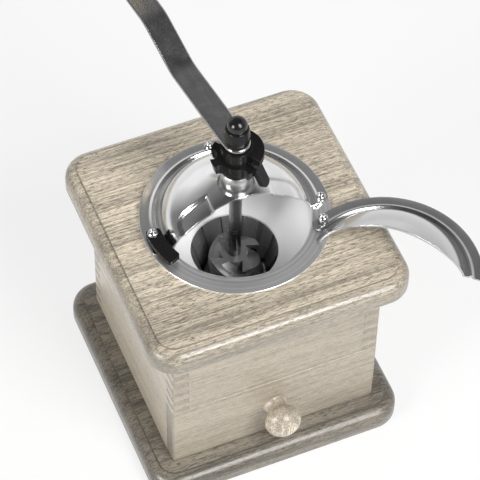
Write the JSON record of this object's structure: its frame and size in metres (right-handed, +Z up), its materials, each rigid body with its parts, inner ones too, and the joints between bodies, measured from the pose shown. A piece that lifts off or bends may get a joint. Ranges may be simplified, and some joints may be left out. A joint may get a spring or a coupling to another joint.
{
  "type": "manual coffee grinder",
  "caption": "Box coffee mill with a finger jointed wooden case, drawer, sunk steel hopper, half dome cover, swinging half dome lid, conical burr and hand crank.",
  "frame": {"origin": "middle of the base plate's flat underside", "axes": "+Z up along the crank shaft, -Y towards the drawer's side, +X to the right as seen from the drawer"},
  "size_m": [0.1607, 0.2068, 0.2297],
  "materials": {
    "plate_wood": "satin lacquered beech",
    "board_wood": "satin lacquered beech",
    "knob_wood": "lacquered turned beech",
    "chromed_steel": "polished chrome on pressed steel",
    "shaft_steel": "ground steel",
    "crank_steel": "satin plated steel strip",
    "screw_steel": "zinc plated",
    "burr_iron": "blackened casting",
    "black_plastic": "gloss black moulding",
    "bush_brass": "turned brass"
  },
  "bodies": {
    "case": {"top_plate": "plate_wood", "base_plate": "plate_wood", "front_panel": "board_wood", "back_panel": "board_wood", "left_panel": "board_wood", "right_panel": "board_wood", "corner_blocks": "board_wood", "drawer_guides": "board_wood", "drawer_kickers": "board_wood", "base_screws": "screw_steel", "hopper_bowl": "chromed_steel", "fixed_cover": "chromed_steel", "cover_screws": "screw_steel", "lid_catch": "black_plastic", "lid_pivot_screw": "screw_steel", "lid_pivot_spacer": "screw_steel", "shaft_collar": "chromed_steel", "collar_nut": "screw_steel", "outer_burr": "burr_iron", "burr_carrier": "burr_iron", "carrier_screws": "screw_steel", "bearing_bridge": "screw_steel", "bridge_screws": "screw_steel", "lower_bush": "bush_brass"},
    "spindle": {"shaft": "shaft_steel", "shaft_clip": "screw_steel", "cone_burr": "burr_iron", "burr_pin": "screw_steel", "burr_spring": "screw_steel", "crank_arm": "crank_steel", "cap_nut": "black_plastic", "knob_axle": "screw_steel"},
    "adjuster": {"star_wheel": "black_plastic", "wheel_insert": "bush_brass", "setting_lever": "black_plastic"},
    "knob": {"crank_knob": "knob_wood", "knob_ferrule": "bush_brass"},
    "lid": {"swing_lid": "chromed_steel"},
    "drawer": {"drawer_front": "board_wood", "drawer_right_side": "board_wood", "drawer_left_side": "board_wood", "drawer_back": "board_wood", "drawer_floor": "board_wood", "drawer_knob": "knob_wood", "drawer_knob_screw": "screw_steel"}
  },
  "joints": [
    {"name": "crank_spin", "type": "hinge", "parent": "case", "child": "spindle", "pos_m": [0, 0, 0.15], "axis": [0, 0, 1], "continuous": true},
    {"name": "knob_spin", "type": "hinge", "parent": "spindle", "child": "knob", "pos_m": [-0.01541, 0.11396, 0.199], "axis": [0, 0, 1], "continuous": true},
    {"name": "grind_adjust", "type": "hinge", "parent": "spindle", "child": "adjuster", "pos_m": [0, 0, 0.1604], "axis": [0, 0, 1], "range_deg": [-150, 150]},
    {"name": "lid_swing", "type": "hinge", "parent": "case", "child": "lid", "pos_m": [0.03551, -0.0205, 0.1217], "axis": [0, 0, 1], "range_deg": [-142, 12]},
    {"name": "drawer_slide", "type": "slide", "parent": "case", "child": "drawer", "axis": [0, -1, 0], "range_m": [0, 0.072]}
  ]
}
